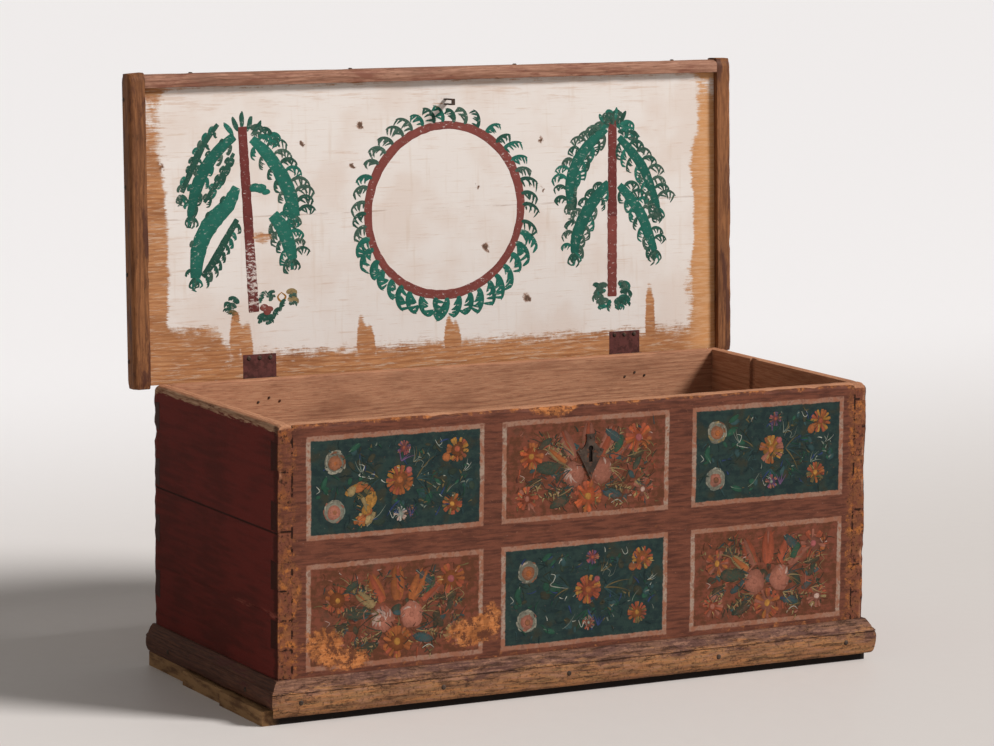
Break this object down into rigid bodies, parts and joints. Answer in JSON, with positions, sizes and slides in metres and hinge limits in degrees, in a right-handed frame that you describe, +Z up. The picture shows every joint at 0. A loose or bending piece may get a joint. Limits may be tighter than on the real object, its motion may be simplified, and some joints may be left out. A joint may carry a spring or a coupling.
{
  "type": "painted dowry chest",
  "caption": "Painted pine folk chest with tailed corners, moulded plinth, flower panels, hinged lid shown open and an iron lock with a sliding bolt.",
  "frame": {"origin": "on the floor, under the centre of the carcass", "axes": "+X to the viewer's right along the front, +Y to the back, +Z up"},
  "size_m": [1.17, 0.5643, 0.997],
  "materials": {
    "red_painted_pine": "worn red-brown paint with painted flower panels",
    "oxblood_painted_pine": "worn oxblood paint outside, bare pine inside",
    "cream_painted_pine": "worn cream paint with painted trees and a wreath",
    "bare_pine": "bare aged pine",
    "worn_cleat_pine": "dark worn pine",
    "worn_plinth_pine": "worn pine with traces of red paint",
    "wrought_iron": "dark rusted wrought iron",
    "painted_iron": "iron under worn red-brown paint"
  },
  "bodies": {
    "chest": {"front_lower_board": "red_painted_pine", "front_upper_board": "red_painted_pine", "left_lower_board": "oxblood_painted_pine", "left_middle_board": "oxblood_painted_pine", "left_upper_board": "oxblood_painted_pine", "right_lower_board": "oxblood_painted_pine", "right_middle_board": "oxblood_painted_pine", "right_upper_board": "oxblood_painted_pine", "back_lower_board": "bare_pine", "back_middle_board": "bare_pine", "back_upper_board": "bare_pine", "bottom_front_board": "bare_pine", "bottom_middle_board": "bare_pine", "bottom_rear_board": "bare_pine", "plinth_front": "worn_plinth_pine", "plinth_left": "worn_plinth_pine", "plinth_right": "worn_plinth_pine", "hinge_left_back_leaf": "wrought_iron", "hinge_left_pin": "wrought_iron", "hinge_right_back_leaf": "wrought_iron", "hinge_right_pin": "wrought_iron", "lock_case": "wrought_iron", "bolt_keeps": "wrought_iron", "bolt_spring": "wrought_iron", "keyhole_escutcheon": "wrought_iron", "bottom_nails": "wrought_iron", "plinth_nails": "wrought_iron", "hinge_back_nails": "wrought_iron", "lock_nails": "wrought_iron", "escutcheon_nails": "wrought_iron"},
    "lid": {"lid_front_board": "cream_painted_pine", "lid_rear_board": "cream_painted_pine", "lid_left_cleat": "worn_cleat_pine", "lid_right_cleat": "worn_cleat_pine", "lid_front_rail": "worn_cleat_pine", "hinge_left_lid_leaf": "painted_iron", "hinge_right_lid_leaf": "painted_iron", "lid_staple": "wrought_iron", "cleat_nails": "wrought_iron", "hinge_lid_nails": "wrought_iron"},
    "lock_bolt": {"lock_bolt": "wrought_iron"}
  },
  "joints": [
    {"name": "lid_hinge", "type": "hinge", "parent": "chest", "child": "lid", "pos_m": [0, 0.2502, 0.472], "axis": [1, 0, 0], "range_deg": [0, 92.3]},
    {"name": "bolt_slide", "type": "slide", "parent": "chest", "child": "lock_bolt", "axis": [1, 0, 0], "range_m": [0, 0.018]}
  ]
}
